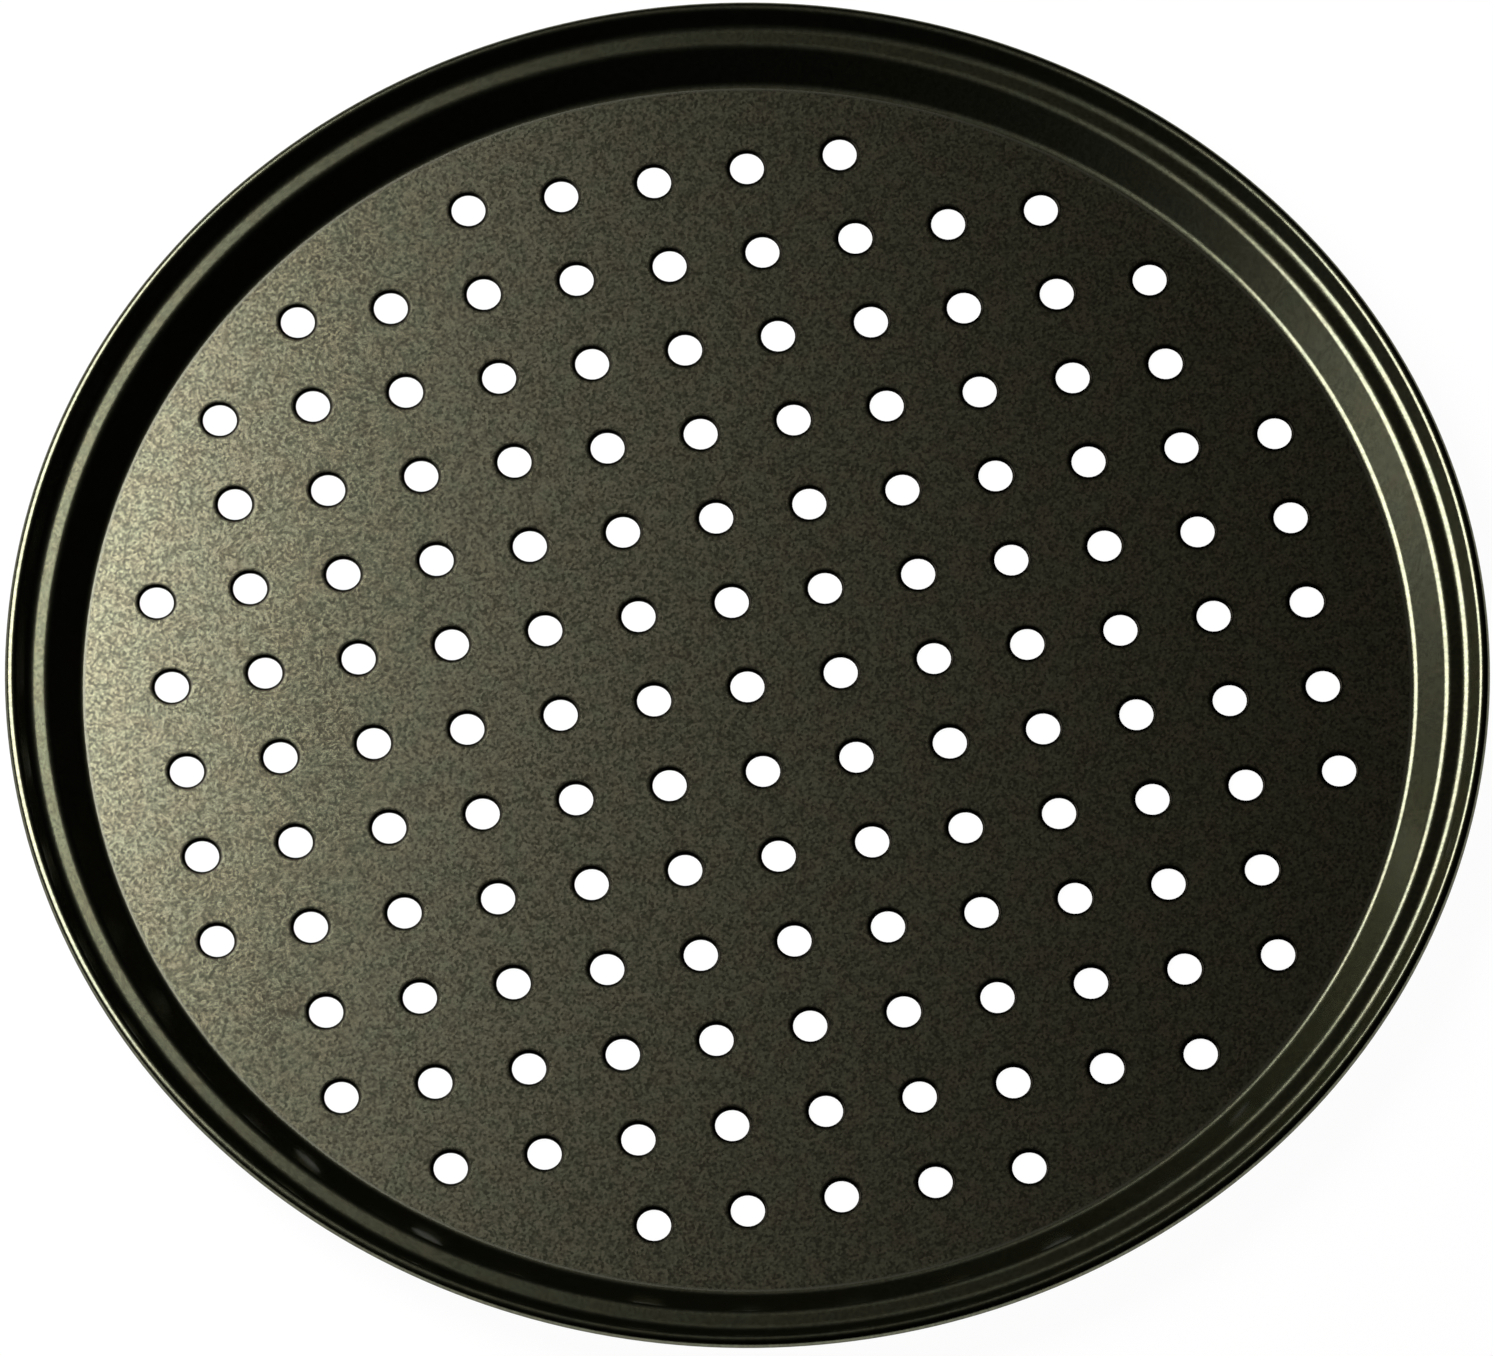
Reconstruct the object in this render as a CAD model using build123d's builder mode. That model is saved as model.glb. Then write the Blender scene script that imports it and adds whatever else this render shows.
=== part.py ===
from build123d import *
from math import asin, atan2, cos, degrees, floor, hypot, sin
import os

# Perforated pizza pan, in millimetres. The origin is the middle of the floor's underside, and +Z is up.

# Overall sizes
pan_diameter = 320.0
pan_height = 10.0
sheet_thickness = 0.6

# Rolled edge: the sheet is curled outwards and under, round a closed ring of wire
wire_diameter = 1.4
wire_clearance = 0.1
curl_gap = 0.2

# Rim section, from the rolled edge inwards, measured to the middle of the sheet's thickness
ledge_setback = 4.8
ledge_width = 4.3
wall_run = 6.7
ledge_height = 6.3

# Bends of the pressed sheet, as radii, also at the middle of its thickness
floor_bend = 2.6
ledge_bend = 2.3
rise_bend = 3.8

# Vent holes: a square grid, cut off by a circle that leaves a plain band round the floor
hole_diameter = 7.6
hole_pitch = 20.4
plain_band = 10.0

# Small rounds are drawn with flats, so that the many holes and the long rings stay light
hole_sides = 10
curl_sides = 8
bend_corners = 2

# Angles, in degrees. The curl's turn runs from its top to its last straight stretch
full_turn = 360
quarter_turn = 90
curl_turn = 225

# Places that follow from the sizes above, as distances from the pan's axis and heights over the table
bead_radius = wire_diameter / 2 + wire_clearance + sheet_thickness
bead_out = pan_diameter / 2 - bead_radius
bead_up = pan_height - bead_radius
floor_height = sheet_thickness / 2
ledge_outer = pan_diameter / 2 - ledge_setback
ledge_inner = ledge_outer - ledge_width
floor_radius = ledge_inner - wall_run

# The rise from the ledge runs on into the curl: a line from a point to a circle's tangent
curl_radius = bead_radius - sheet_thickness / 2
reach = hypot(bead_out - ledge_outer, bead_up - ledge_height)
rise = atan2(bead_up - ledge_height, bead_out - ledge_outer) + asin(curl_radius / reach)
curl_start = (bead_out - curl_radius * sin(rise), bead_up + curl_radius * cos(rise))

# The middle of the sheet's thickness, with its bends and its curl as true rounds
with BuildLine():
    pressed = FilletPolyline(
        (0, floor_height),
        (floor_radius, floor_height),
        (ledge_inner, ledge_height),
        (ledge_outer, ledge_height),
        curl_start,
        radius=[floor_bend, ledge_bend, rise_bend],
    )
    over = JernArc(pressed @ 1, pressed % 1, radius=curl_radius, arc_size=-degrees(rise))
    under = JernArc(over @ 1, over % 1, radius=curl_radius, arc_size=-curl_turn)
bends = pressed.edges().filter_by(GeomType.CIRCLE)
side_turn = full_turn / curl_sides

# The last stretch of the curl runs up to the gap's width from the underside of the rise
under_rise = (pressed % 1).rotate(Axis.Z, -quarter_turn)
room = (under @ 1 - pressed @ 1).dot(under_rise) - sheet_thickness / 2 - curl_gap
curl_end = under @ 1 - (under % 1) * (room / (under % 1).dot(under_rise))


def flats(arc, corners, side):
    """Corners of the flats that touch a round, when that lies to the left of an arc by a distance"""
    outward = 1 / cos(arc.length / arc.radius / corners / 2)
    points = []
    for corner in range(corners):
        share = (corner + 0.5) / corners
        left = (arc % share).rotate(Axis.Z, quarter_turn) * side
        points.append(arc.arc_center + (arc @ share - arc.arc_center + left) * outward)
    return points


def sheet_face(side):
    """One face of the sheet, from the axis to the cut edge, at a distance from the middle line"""
    points = [Vector(0, floor_height + side)]
    for bend in bends:
        points += flats(bend, bend_corners, side)
    points += flats(over, 1, side)
    points += flats(under, round(curl_turn / side_turn), side)
    points.append(curl_end + (under % 1).rotate(Axis.Z, quarter_turn) * side)
    return Polyline(*points)


os.makedirs("parts", exist_ok=True)

# The dish: floor, wall, ledge, rise and curl are one round sheet, drawn and rolled
with BuildPart() as pan_body:
    with BuildSketch(Plane.XZ):
        with BuildLine():
            cooking_face = sheet_face(sheet_thickness / 2)
            underside = sheet_face(-sheet_thickness / 2)
            Line(cooking_face @ 0, underside @ 0)
            Line(cooking_face @ 1, underside @ 1)
        make_face()
    revolve(axis=Axis.Z)

    # The punch goes through the flat floor, with one hole on the axis
    field_radius = floor_radius - plain_band
    holes_each_way = 2 * floor(field_radius / hole_pitch) + 1
    grid = GridLocations(hole_pitch, hole_pitch, holes_each_way, holes_each_way)
    vents = [place for place in grid.local_locations if place.position.length <= field_radius]
    with BuildSketch():
        with Locations(*vents):
            RegularPolygon(radius=hole_diameter / 2, side_count=hole_sides)
    extrude(amount=sheet_thickness, mode=Mode.SUBTRACT)
pan_body.part.label = "pan_body"
export_step(pan_body.part, "parts/pan_body.step")

# The stiffening ring inside the curl, with its flats alongside the curl's
with BuildPart() as rim_wire:
    with BuildSketch(Plane.XZ):
        with Locations((bead_out, bead_up)):
            RegularPolygon(wire_diameter / 2, curl_sides, major_radius=False, rotation=side_turn / 2)
    revolve(axis=Axis.Z)
rim_wire.part.label = "rim_wire"
export_step(rim_wire.part, "parts/rim_wire.step")

print("vent holes", len(vents))
print("floor flat to radius", round((bends[0] @ 0).X, 1), "rise in degrees", round(degrees(rise), 1))
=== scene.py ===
from math import asin, atan2, cos, hypot, pi, radians, sin, sqrt, tan

import bmesh
import bpy
from mathutils import Matrix, Vector


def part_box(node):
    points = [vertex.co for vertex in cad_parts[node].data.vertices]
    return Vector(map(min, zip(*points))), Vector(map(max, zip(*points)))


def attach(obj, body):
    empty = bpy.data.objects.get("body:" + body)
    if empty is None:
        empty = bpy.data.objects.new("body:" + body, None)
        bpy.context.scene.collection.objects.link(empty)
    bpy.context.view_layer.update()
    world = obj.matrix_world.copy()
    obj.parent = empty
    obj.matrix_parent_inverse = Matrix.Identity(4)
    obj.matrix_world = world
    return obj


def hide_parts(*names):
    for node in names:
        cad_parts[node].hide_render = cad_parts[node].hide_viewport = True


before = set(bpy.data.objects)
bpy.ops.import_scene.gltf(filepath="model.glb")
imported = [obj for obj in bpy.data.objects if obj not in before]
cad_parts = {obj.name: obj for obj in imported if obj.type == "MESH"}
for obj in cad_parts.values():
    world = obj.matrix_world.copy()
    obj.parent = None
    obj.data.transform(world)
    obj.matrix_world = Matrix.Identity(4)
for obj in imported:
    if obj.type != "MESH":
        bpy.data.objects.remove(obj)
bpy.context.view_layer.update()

mm = 0.001

# Pan sheet: one round blank of sheet steel, pressed to a flat floor, a sloped wall and a narrow
# ledge. Its edge is curled outwards and under, round a wire, and the steam vents are punched from
# above. A dark non-stick coating is baked on both faces.
pan_low, pan_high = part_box("pan_body")
pan_radius = (pan_high.x - pan_low.x) / 2
sheet_thickness = 0.6 * mm

# Rim section, to the middle of the sheet's thickness: where its straight stretches would meet
ledge_setback = 4.8 * mm
ledge_width = 4.3 * mm
wall_width = 6.7 * mm
ledge_up = 6.3 * mm
floor_up = sheet_thickness / 2
ledge_out = pan_radius - ledge_setback
ledge_in = ledge_out - ledge_width
floor_out = ledge_in - wall_width
floor_bend = 2.6 * mm
ledge_bend = 2.3 * mm
rise_bend = 3.0 * mm

# The curl round the wire, whose last straight stretch stops short of the rise's underside
wire_radius = 0.7 * mm
wire_play = 0.1 * mm
bead_radius = wire_radius + wire_play + sheet_thickness
bead_out = pan_radius - bead_radius
bead_up = pan_high.z - bead_radius
curl_radius = bead_radius - sheet_thickness / 2
curl_turn = radians(225)
curl_gap = 0.2 * mm

# The slopes of the wall and the rise, and the straight stretches that the bends leave
wall_slope = atan2(ledge_up - floor_up, ledge_in - floor_out)
reach = hypot(bead_out - ledge_out, bead_up - ledge_up)
rise_slope = atan2(bead_up - ledge_up, bead_out - ledge_out) + asin(curl_radius / reach)
floor_trim = floor_bend * tan(wall_slope / 2)
ledge_trim = ledge_bend * tan(wall_slope / 2)
rise_trim = rise_bend * tan(rise_slope / 2)
floor_end = floor_out - floor_trim
wall_run = hypot(ledge_in - floor_out, ledge_up - floor_up) - floor_trim - ledge_trim
ledge_run = ledge_out - ledge_in - ledge_trim - rise_trim
rise_run = sqrt(reach ** 2 - curl_radius ** 2) - rise_trim
whole_turn = rise_slope + curl_turn
curl_run = (curl_radius * (1 - cos(whole_turn)) - sheet_thickness / 2 - curl_gap) / -sin(whole_turn)

# Vents: a square grid that stops short of the wall. The collar is the ring of floor round a vent.
# The punch rolls each upper edge over and leaves a slight burr below.
vent_radius = 3.68 * mm
vent_pitch = 20.4 * mm
vent_reach = 134 * mm
vent_collar = 1.3 * mm
punch_roll = 0.5 * mm
punch_burr = 0.06 * mm

# How finely the rounds are drawn, and the narrow margin that keeps a flat's shading flat beside a
# bend. Points closer than near count as level, and closer than merge_distance as one.
bend_step = radians(4)
curl_step = radians(10)
ring_steps = 288
vent_steps = 28
roll_steps = 4
burr_steps = 2
sharp_edge = radians(45)
margin = 0.3 * mm
near = margin / 10
merge_distance = margin / 100
floor_strip = 2 * margin


class SheetLine:
    """The cooking face in section, drawn outwards from the floor in straight runs and bends"""

    def __init__(self, out, up):
        self.mesh = bmesh.new()
        self.tip = self.mesh.verts.new((out, 0, up))
        self.slope = 0

    def draw(self, length):
        """One straight line, on from the tip"""
        made = bmesh.ops.extrude_vert_indiv(self.mesh, verts=[self.tip])
        self.tip = made["verts"][0]
        move = Vector((cos(self.slope), 0, sin(self.slope))) * length
        bmesh.ops.translate(self.mesh, verts=[self.tip], vec=move)

    def run(self, length):
        """A straight stretch, with a narrow margin at each end that keeps its shading flat"""
        edge = min(margin, length / 3)
        self.draw(edge)
        self.draw(length - 2 * edge)
        self.draw(edge)

    def bend(self, turn, radius, step):
        """A round bend, upwards for a positive turn, of a radius to the middle of the thickness"""
        side = 1 if turn > 0 else -1
        face_radius = radius - side * sheet_thickness / 2
        centre = self.tip.co + Vector((-sin(self.slope), 0, cos(self.slope))) * side * face_radius
        made = bmesh.ops.spin(
            self.mesh, geom=[self.tip], cent=centre, axis=(0, 1, 0), angle=-turn,
            steps=round(abs(turn) / step),
        )
        self.tip = made["geom_last"][0]
        self.slope += turn


def turned_round(mesh):
    """Spins a section once round the pan's axis, into a closed ring"""
    bmesh.ops.spin(
        mesh, geom=mesh.verts[:] + mesh.edges[:], cent=(0, 0, 0), axis=(0, 0, 1),
        angle=2 * pi, steps=ring_steps, use_merge=True,
    )
    bmesh.ops.remove_doubles(mesh, verts=mesh.verts, dist=merge_distance)


def distance_out(point):
    """How far a point lies from the pan's axis"""
    return hypot(point.x, point.y)


section = SheetLine(floor_end - floor_strip, sheet_thickness)
section.draw(floor_strip)
section.bend(wall_slope, floor_bend, bend_step)
section.run(wall_run)
section.bend(-wall_slope, ledge_bend, bend_step)
section.run(ledge_run)
section.bend(rise_slope, rise_bend, bend_step)
section.run(rise_run)
section.bend(-whole_turn, curl_radius, curl_step)
section.draw(curl_run)
sheet_mesh = section.mesh
turned_round(sheet_mesh)

# The flat floor fills what lies between the section's first strip and a collar round each vent
floor_ring = floor_end - floor_strip / 2
floor_edges = [
    edge for edge in sheet_mesh.edges
    if edge.is_boundary and all(distance_out(vert.co) < floor_ring for vert in edge.verts)
]
vents_each_way = int(vent_reach / vent_pitch)
collars = []
for across in range(-vents_each_way, vents_each_way + 1):
    for along in range(-vents_each_way, vents_each_way + 1):
        place = Vector((across * vent_pitch, along * vent_pitch, sheet_thickness))
        if distance_out(place) < vent_reach:
            made = bmesh.ops.create_circle(
                sheet_mesh, segments=vent_steps, radius=vent_radius + vent_collar,
                matrix=Matrix.Translation(place),
            )
            collar = list({edge for vert in made["verts"] for edge in vert.link_edges})
            collars.append((place, collar))
            floor_edges += collar
bmesh.ops.triangle_fill(sheet_mesh, edges=floor_edges, use_beauty=True, normal=(0, 0, 1))
shrink = vent_radius / (vent_radius + vent_collar)
for place, collar in collars:
    made = bmesh.ops.extrude_edge_only(sheet_mesh, edges=collar)
    rim = [item for item in made["geom"] if isinstance(item, bmesh.types.BMVert)]
    bmesh.ops.scale(sheet_mesh, verts=rim, vec=(shrink, shrink, 1), space=Matrix.Translation(-place))

# The sheet gets its thickness below the cooking face, and each vent its rolled edge and its burr
bmesh.ops.recalc_face_normals(sheet_mesh, faces=sheet_mesh.faces)
floor_face = min(sheet_mesh.faces, key=lambda face: distance_out(face.calc_center_median()))
if floor_face.normal.z < 0:
    bmesh.ops.reverse_faces(sheet_mesh, faces=sheet_mesh.faces)
bmesh.ops.solidify(sheet_mesh, geom=sheet_mesh.faces[:], thickness=sheet_thickness)
sheet_mesh.normal_update()
for height, cut, steps in ((sheet_thickness, punch_roll, roll_steps), (0, punch_burr, burr_steps)):
    punched = [
        edge for edge in sheet_mesh.edges
        if edge.calc_face_angle(0) > sharp_edge
        and all(abs(vert.co.z - height) < near for vert in edge.verts)
        and distance_out(edge.verts[0].co) < floor_ring
    ]
    bmesh.ops.bevel(
        sheet_mesh, geom=punched, offset=cut, offset_type="OFFSET", affect="EDGES",
        segments=steps, profile=0.5, material=-1, clamp_overlap=False,
    )

# Marks on the sheet's mesh: painted shade round each punched edge, painted shade and a weaker speckle
# on the pressed rim, and a painted highlight along the line where the flat floor ends
punched_part = sheet_mesh.verts.layers.float.new("punched")
painted_highlight_part = sheet_mesh.verts.layers.float.new("painted_highlight_line")
pressed_part = sheet_mesh.verts.layers.float.new("pressed")
edge_reach = vent_radius + punch_roll + near
for vert in sheet_mesh.verts:
    grid_x = vent_pitch * round(vert.co.x / vent_pitch)
    grid_y = vent_pitch * round(vert.co.y / vent_pitch)
    if distance_out(vert.co) > floor_ring:
        vert[pressed_part] = 1
        vert[painted_highlight_part] = abs(distance_out(vert.co) - floor_end) < near
    elif hypot(grid_x, grid_y) < vent_reach:
        vert[punched_part] = hypot(vert.co.x - grid_x, vert.co.y - grid_y) < edge_reach


def finished(mesh, name):
    """Makes a piece of a mesh, smoothly shaded"""
    for face in mesh.faces:
        face.smooth = True
    data = bpy.data.meshes.new(name)
    mesh.to_mesh(data)
    mesh.free()
    piece = bpy.data.objects.new(name, data)
    bpy.context.scene.collection.objects.link(piece)
    return piece


pan_sheet = finished(sheet_mesh, "pan_sheet")


def feed(tree, socket, value):
    """Links a socket to another node's output, or sets it to a plain value"""
    if isinstance(value, bpy.types.NodeSocket):
        tree.links.new(value, socket)
    else:
        socket.default_value = value


def linked(tree, kind, **inputs):
    """Adds a node to a tree and feeds its inputs by name"""
    node = tree.nodes.new(kind)
    for name, value in inputs.items():
        feed(tree, node.inputs[name.replace("_", " ")], value)
    return node


def worked_out(tree, operation, first, second):
    """A number worked out from two others"""
    node = tree.nodes.new("ShaderNodeMath")
    node.operation = operation
    feed(tree, node.inputs[0], first)
    feed(tree, node.inputs[1], second)
    return node


# Grain of a baked or drawn surface: fine grains of uneven tone that lie in small clumps, soft
# patches some millimetres wide, and a slow drift of tint
clumps_to_grain = 0.9
grain_group = bpy.data.node_groups.new("surface grain", "ShaderNodeTree")
grain_group.interface.new_socket("Vector", in_out="INPUT", socket_type="NodeSocketVector")
for name in ("Grain Scale", "Patch Scale"):
    grain_group.interface.new_socket(name, in_out="INPUT", socket_type="NodeSocketFloat")
for name in ("Grain", "Patches", "Tint"):
    grain_group.interface.new_socket(name, in_out="OUTPUT", socket_type="NodeSocketFloat")
grain_in = grain_group.nodes.new("NodeGroupInput").outputs
grain_out = grain_group.nodes.new("NodeGroupOutput").inputs
cells = linked(
    grain_group, "ShaderNodeTexVoronoi", Vector=grain_in["Vector"], Scale=grain_in["Grain Scale"],
    Randomness=1.0,
)
cells.voronoi_dimensions = "2D"
clump_scale = worked_out(grain_group, "MULTIPLY", grain_in["Grain Scale"], clumps_to_grain)
clumps = linked(
    grain_group, "ShaderNodeTexNoise", Vector=grain_in["Vector"], Scale=clump_scale.outputs[0],
    Detail=0.0,
)
grain = grain_group.nodes.new("ShaderNodeMix")
grain_group.links.new(cells.outputs["Color"], grain.inputs[2])
grain_group.links.new(clumps.outputs["Fac"], grain.inputs[3])
patches = linked(
    grain_group, "ShaderNodeTexNoise", Vector=grain_in["Vector"], Scale=grain_in["Patch Scale"],
    Detail=3.0, Roughness=0.55,
)
tint = linked(
    grain_group, "ShaderNodeTexNoise", Vector=grain_in["Vector"], Scale=grain_in["Patch Scale"],
    Detail=1.0, Roughness=0.5,
)
grain_group.links.new(grain.outputs[0], grain_out["Grain"])
grain_group.links.new(patches.outputs["Fac"], grain_out["Patches"])
grain_group.links.new(tint.outputs["Fac"], grain_out["Tint"])


def grained(tree, grain_size, patch_size):
    """Places the grain in a material, on the piece's own coordinates"""
    places = tree.nodes.new("ShaderNodeTexCoord")
    node = tree.nodes.new("ShaderNodeGroup")
    node.node_tree = grain_group
    tree.links.new(places.outputs["Object"], node.inputs["Vector"])
    node.inputs["Grain Scale"].default_value = 1 / grain_size
    node.inputs["Patch Scale"].default_value = 1 / patch_size
    return node


def over_colour(tree, amount, under, over, blend="MIX"):
    """A colour laid over another, as far as an amount says"""
    node = tree.nodes.new("ShaderNodeMix")
    node.data_type = "RGBA"
    node.blend_type = blend
    feed(tree, node.inputs[0], amount)
    feed(tree, node.inputs[6], under)
    feed(tree, node.inputs[7], over)
    return node.outputs[2]


def sheet_mask(tree, part):
    """How far a place belongs to one of the parts marked on the sheet's mesh"""
    node = tree.nodes.new("ShaderNodeAttribute")
    node.attribute_name = part
    return node.outputs["Fac"]


# The coating: satin, dark and slightly olive, with a fine speckle and a thin clear gloss over it.
# The speckle multiplies the colour, and is weaker on the rim. The ranges hold most of the noises.
coat_grain_size = 0.62 * mm
coat_patch_size = 6 * mm
coat_olive = (0.193, 0.193, 0.131, 1)
coat_brown = (0.201, 0.189, 0.127, 1)
# Painted shade: the colour of the whole pressed rim is multiplied darker
painted_rim_shade = (0.63, 0.66, 0.63, 1)
# Painted shade: a nearly black colour round each punched vent edge
painted_edge_shade = (0.006, 0.0055, 0.004, 1)
# Painted highlight: a paler colour along the line where the flat floor ends
painted_highlight_grey = (0.34, 0.333, 0.262, 1)
tint_low = 0.35
tint_high = 0.65
grain_low = 0.3
grain_high = 0.7
speckle_light = 1.5
speckle_dark = 0.5
rim_speckle = 0.4
gloss_weight = 0.4
grain_bump = 0.03
grain_depth = 0.02 * mm
coating = bpy.data.materials.new("non_stick_coating")
coating.use_nodes = True
coat_tree = coating.node_tree
coat = coat_tree.nodes["Principled BSDF"]
coat_grain = grained(coat_tree, coat_grain_size, coat_patch_size)
hue = linked(
    coat_tree, "ShaderNodeMapRange", Value=coat_grain.outputs["Tint"], From_Min=tint_low,
    From_Max=tint_high,
)
speckle = linked(
    coat_tree, "ShaderNodeMapRange", Value=coat_grain.outputs["Grain"],
    From_Min=grain_low, From_Max=grain_high, To_Min=speckle_light, To_Max=speckle_dark,
)
pressed = sheet_mask(coat_tree, "pressed")
punched_edge = sheet_mask(coat_tree, "punched")
painted_highlight_line = sheet_mask(coat_tree, "painted_highlight_line")
speckle_depth = linked(
    coat_tree, "ShaderNodeMapRange", Value=pressed, To_Min=1.0, To_Max=rim_speckle,
)
tinted = over_colour(coat_tree, hue.outputs["Result"], coat_olive, coat_brown)
# painted shade over the pressed rim
rim_shaded = over_colour(coat_tree, pressed, tinted, painted_rim_shade, "MULTIPLY")
speckled = over_colour(
    coat_tree, speckle_depth.outputs["Result"], rim_shaded, speckle.outputs["Result"], "MULTIPLY",
)
# painted shade round each punched vent edge
darkened = over_colour(coat_tree, punched_edge, speckled, painted_edge_shade)
# painted highlight along the line where the flat floor ends
lightened = over_colour(coat_tree, painted_highlight_line, darkened, painted_highlight_grey)
gloss = linked(coat_tree, "ShaderNodeMapRange", Value=punched_edge, To_Min=gloss_weight, To_Max=0.0)
coat_bump = linked(
    coat_tree, "ShaderNodeBump", Height=coat_grain.outputs["Grain"], Strength=grain_bump,
    Distance=grain_depth,
)
coat_tree.links.new(lightened, coat.inputs["Base Color"])
coat_tree.links.new(gloss.outputs["Result"], coat.inputs["Coat Weight"])
coat_tree.links.new(coat_bump.outputs["Normal"], coat.inputs["Normal"])
coat.inputs["Metallic"].default_value = 1.0
coat.inputs["Specular Tint"].default_value = (0.25, 0.25, 0.25, 1)
coat.inputs["Roughness"].default_value = 0.25
coat.inputs["Coat Roughness"].default_value = 0.08
pan_sheet.data.materials.append(coating)
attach(pan_sheet, "root")
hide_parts("pan_body")

# Rim wire: the closed ring of drawn steel wire that the sheet's edge is curled round. It keeps the
# edge round and stiff, and is never seen on a whole pan.
wire_steps = 20
wire_grain_size = 0.3 * mm
wire_patch_size = 8 * mm
steel_dark = 0.38
steel_light = 0.52
steel_smooth = 0.3
steel_dull = 0.45
wire_mesh = bmesh.new()
bmesh.ops.create_circle(
    wire_mesh, segments=wire_steps, radius=wire_radius,
    matrix=Matrix.Translation((bead_out, 0, bead_up)) @ Matrix.Rotation(pi / 2, 4, "X"),
)
turned_round(wire_mesh)
bmesh.ops.recalc_face_normals(wire_mesh, faces=wire_mesh.faces)
rim_wire = finished(wire_mesh, "rim_wire_ring")
drawn_steel = bpy.data.materials.new("drawn_steel")
drawn_steel.use_nodes = True
wire_tree = drawn_steel.node_tree
steel = wire_tree.nodes["Principled BSDF"]
wire_grain = grained(wire_tree, wire_grain_size, wire_patch_size)
steel_tone = linked(
    wire_tree, "ShaderNodeMapRange", Value=wire_grain.outputs["Patches"],
    From_Min=grain_low, From_Max=grain_high, To_Min=steel_dark, To_Max=steel_light,
)
steel_roughness = linked(
    wire_tree, "ShaderNodeMapRange", Value=wire_grain.outputs["Grain"],
    From_Min=grain_low, From_Max=grain_high, To_Min=steel_smooth, To_Max=steel_dull,
)
wire_tree.links.new(steel_tone.outputs["Result"], steel.inputs["Base Color"])
wire_tree.links.new(steel_roughness.outputs["Result"], steel.inputs["Roughness"])
steel.inputs["Metallic"].default_value = 1.0
rim_wire.data.materials.append(drawn_steel)
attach(rim_wire, "root")
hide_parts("rim_wire")

# Studio floor: a wide sheet of white paper, a hair below the pan, because two surfaces at one
# height would flicker. It is the background of every view, and clear from behind, so that the
# pan's underside can be looked at from below.
paper_radius = 12.0
paper_drop = 0.2 * mm
paper_steps = 96
paper_glow = 0.97
pan_shadow = 5 * mm
white = (1, 1, 1, 1)
paper_grey = (0.8, 0.8, 0.8, 1)
shadow_grey = (0.05, 0.05, 0.05, 1)
paper_mesh = bmesh.new()
bmesh.ops.create_circle(
    paper_mesh, cap_ends=True, segments=paper_steps, radius=paper_radius,
    matrix=Matrix.Translation((0, 0, -paper_drop)),
)
paper_mesh.normal_update()
if any(face.normal.z < 0 for face in paper_mesh.faces):
    bmesh.ops.reverse_faces(paper_mesh, faces=paper_mesh.faces)
studio_floor = finished(paper_mesh, "studio_floor")
white_paper = bpy.data.materials.new("white_paper")
white_paper.use_nodes = True
paper_tree = white_paper.node_tree
paper_out = paper_tree.nodes["Material Output"]
paper_tree.nodes.remove(paper_tree.nodes["Principled BSDF"])
rays = paper_tree.nodes.new("ShaderNodeLightPath").outputs
paper_side = paper_tree.nodes.new("ShaderNodeNewGeometry")
paper_places = paper_tree.nodes.new("ShaderNodeTexCoord")

# The paper under the pan lies in its shadow, which only the glossy rays of the pan's own edges meet
from_axis = linked(paper_tree, "ShaderNodeVectorMath", Vector=paper_places.outputs["Object"])
from_axis.operation = "LENGTH"
open_paper = linked(
    paper_tree, "ShaderNodeMapRange", Value=from_axis.outputs["Value"],
    From_Min=pan_radius - pan_shadow, From_Max=pan_radius,
)
mirrored = worked_out(paper_tree, "MULTIPLY", rays["Is Glossy Ray"], open_paper.outputs["Result"])

# Looked at from below, through the clear side, the paper lights the pan's underside
from_below = worked_out(paper_tree, "MULTIPLY", rays["Is Glossy Ray"], rays["Transparent Depth"])
from_below.use_clamp = True
reflected = worked_out(paper_tree, "MAXIMUM", from_below.outputs[0], mirrored.outputs[0])
seen = worked_out(paper_tree, "MAXIMUM", rays["Is Camera Ray"], rays["Is Transmission Ray"])
shown = worked_out(paper_tree, "MAXIMUM", seen.outputs[0], reflected.outputs[0])

# To those rays the paper is a white background with a faint shadow, and to the rest plain paper
shaded = linked(paper_tree, "ShaderNodeBsdfDiffuse", Color=shadow_grey)
glow = linked(paper_tree, "ShaderNodeEmission", Color=white, Strength=paper_glow)
background = paper_tree.nodes.new("ShaderNodeAddShader")
paper_tree.links.new(shaded.outputs[0], background.inputs[0])
paper_tree.links.new(glow.outputs[0], background.inputs[1])
plain = linked(paper_tree, "ShaderNodeBsdfDiffuse", Color=paper_grey)
front = paper_tree.nodes.new("ShaderNodeMixShader")
paper_tree.links.new(shown.outputs[0], front.inputs[0])
paper_tree.links.new(plain.outputs[0], front.inputs[1])
paper_tree.links.new(background.outputs[0], front.inputs[2])
clear = paper_tree.nodes.new("ShaderNodeBsdfTransparent")
paper = paper_tree.nodes.new("ShaderNodeMixShader")
paper_tree.links.new(paper_side.outputs["Backfacing"], paper.inputs[0])
paper_tree.links.new(front.outputs[0], paper.inputs[1])
paper_tree.links.new(clear.outputs[0], paper.inputs[2])
paper_tree.links.new(paper.outputs[0], paper_out.inputs["Surface"])
studio_floor.data.materials.append(white_paper)

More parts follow.
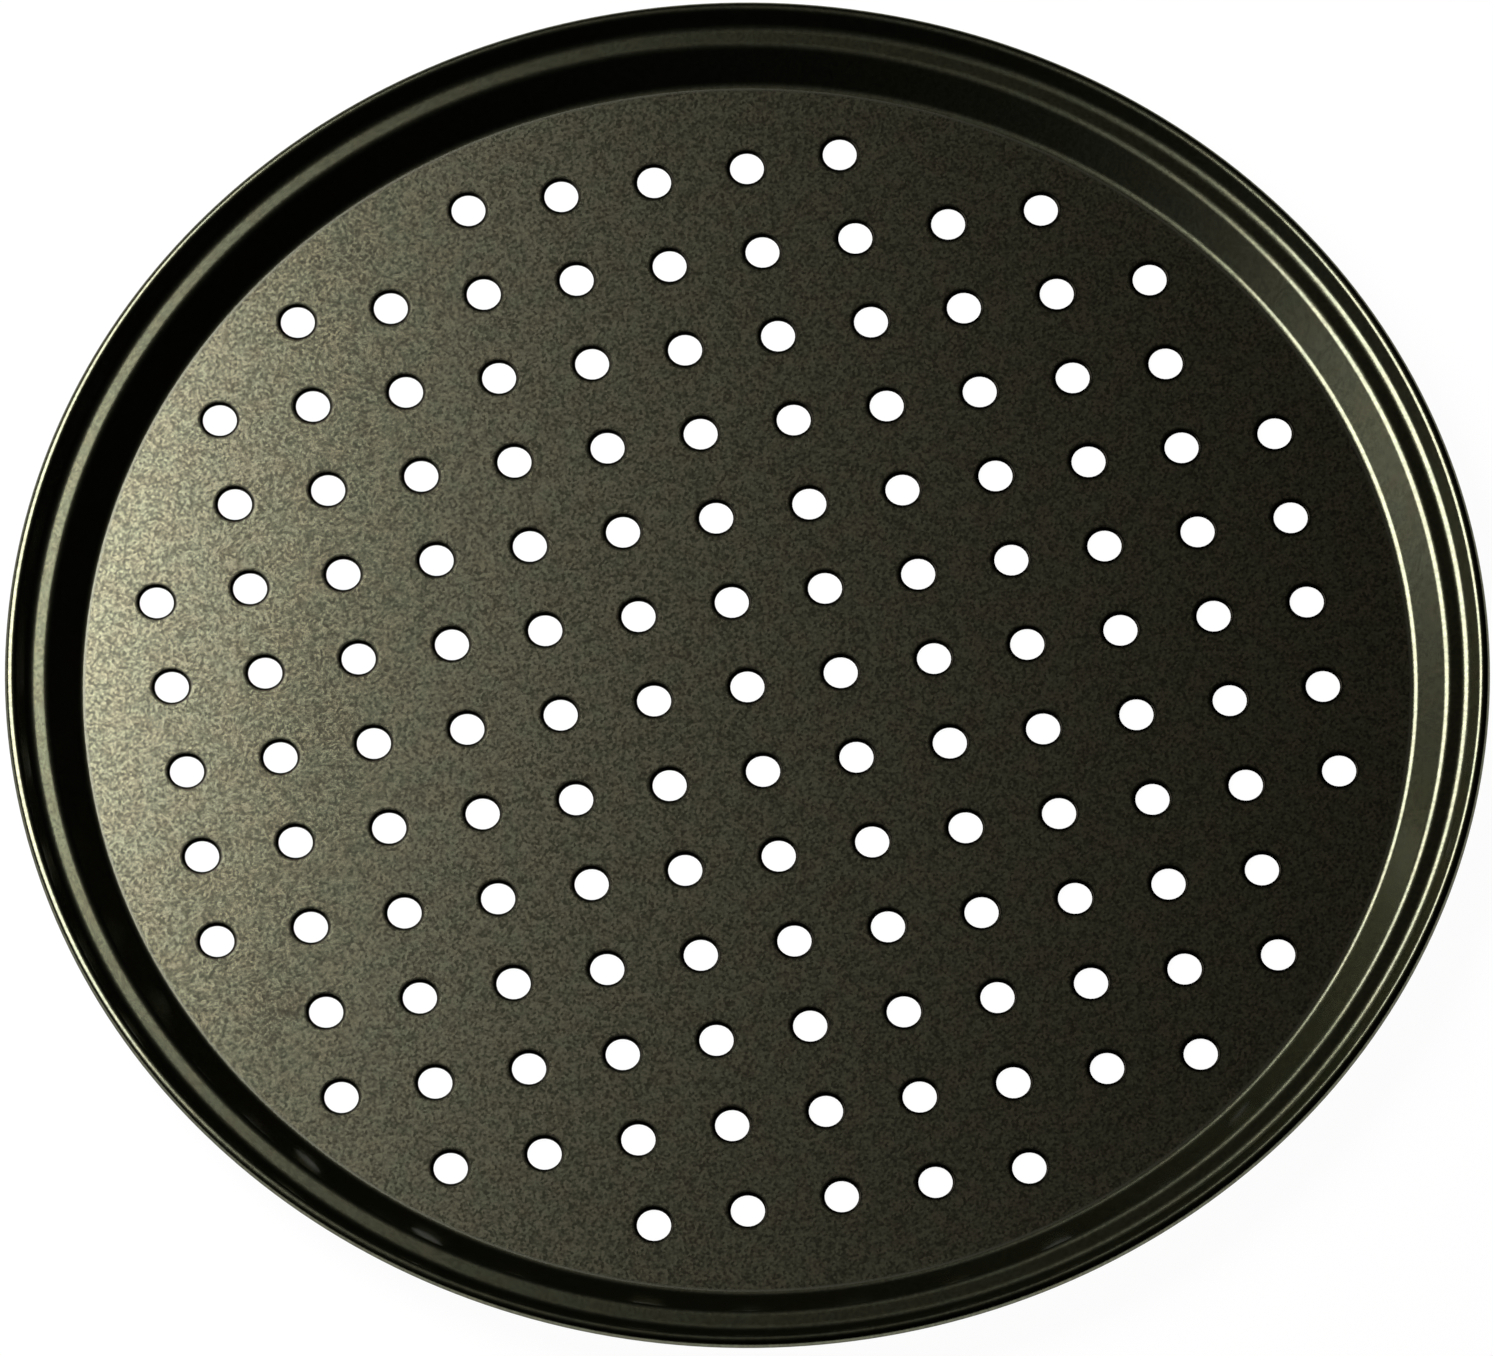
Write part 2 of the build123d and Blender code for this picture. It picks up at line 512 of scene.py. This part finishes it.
# Camera: far off and steep, with a long lens, turned a little to the left of the vent rows. Its
# aim is a hair off the pan's middle.
view_turn = radians(-9.51)
view_rise = radians(64.85)
view_distance = 8.937
view_shift_right = -0.2 * mm
view_shift_up = -0.15 * mm
lens_length = 1000
farthest_seen = 40
view_away = Vector((-sin(view_turn), cos(view_turn), 0))
view_back = Vector((0, 0, sin(view_rise))) - view_away * cos(view_rise)
view_right = Vector((cos(view_turn), sin(view_turn), 0))
view_up = view_back.cross(view_right)
pan_middle = Vector((0, 0, pan_high.z / 2))
view_middle = pan_middle + view_right * view_shift_right + view_up * view_shift_up
camera = bpy.data.objects.new("camera", bpy.data.cameras.new("camera"))
bpy.context.scene.collection.objects.link(camera)
bpy.context.scene.camera = camera
camera.data.lens = lens_length
camera.data.clip_end = farthest_seen
camera.location = view_middle + view_back * view_distance
camera.rotation_mode = "QUATERNION"
camera.rotation_quaternion = (-view_back).to_track_quat("-Z", "Y")

# Light: one soft lamp over the pan's far left edge, and a very dim warm one beyond its far edge, in
# a dim room. The room is white only where the camera looks past the paper.
lamp_place = Vector((-0.375, 0.215, 0.44))
lamp_length = 0.6
lamp_width = 0.45
lamp_energy = 5.8
fill_place = Vector((0, 0.42, 0.9))
fill_width = 0.4
fill_energy = 0.006
fill_warm = (1, 0.76, 0.2)
room_glow = 0.0005


def soft_lamp(name, shape, place, energy):
    """An area lamp aimed at the pan, from a place given as right, away and up in the camera's view"""
    data = bpy.data.lights.new(name, "AREA")
    data.shape = shape
    data.energy = energy
    light = bpy.data.objects.new(name, data)
    bpy.context.scene.collection.objects.link(light)
    light.location = view_right * place.x + view_away * place.y + Vector((0, 0, place.z))
    light.rotation_mode = "QUATERNION"
    light.rotation_quaternion = (-light.location).to_track_quat("-Z", "Y")
    light.visible_camera = False
    return data


key_lamp = soft_lamp("key_lamp", "ELLIPSE", lamp_place, lamp_energy)
key_lamp.size = lamp_length
key_lamp.size_y = lamp_width
fill_lamp = soft_lamp("fill_lamp", "DISK", fill_place, fill_energy)
fill_lamp.size = fill_width
fill_lamp.color = fill_warm
room = bpy.data.worlds.new("dim_room")
bpy.context.scene.world = room
room.use_nodes = True
room_tree = room.node_tree
room_light = room_tree.nodes["Background"]
room_rays = room_tree.nodes.new("ShaderNodeLightPath")
room_level = worked_out(room_tree, "MAXIMUM", room_rays.outputs["Is Camera Ray"], room_glow)
room_tree.links.new(room_level.outputs[0], room_light.inputs["Strength"])
room_light.inputs["Color"].default_value = white
bpy.context.scene.view_settings.view_transform = "Standard"
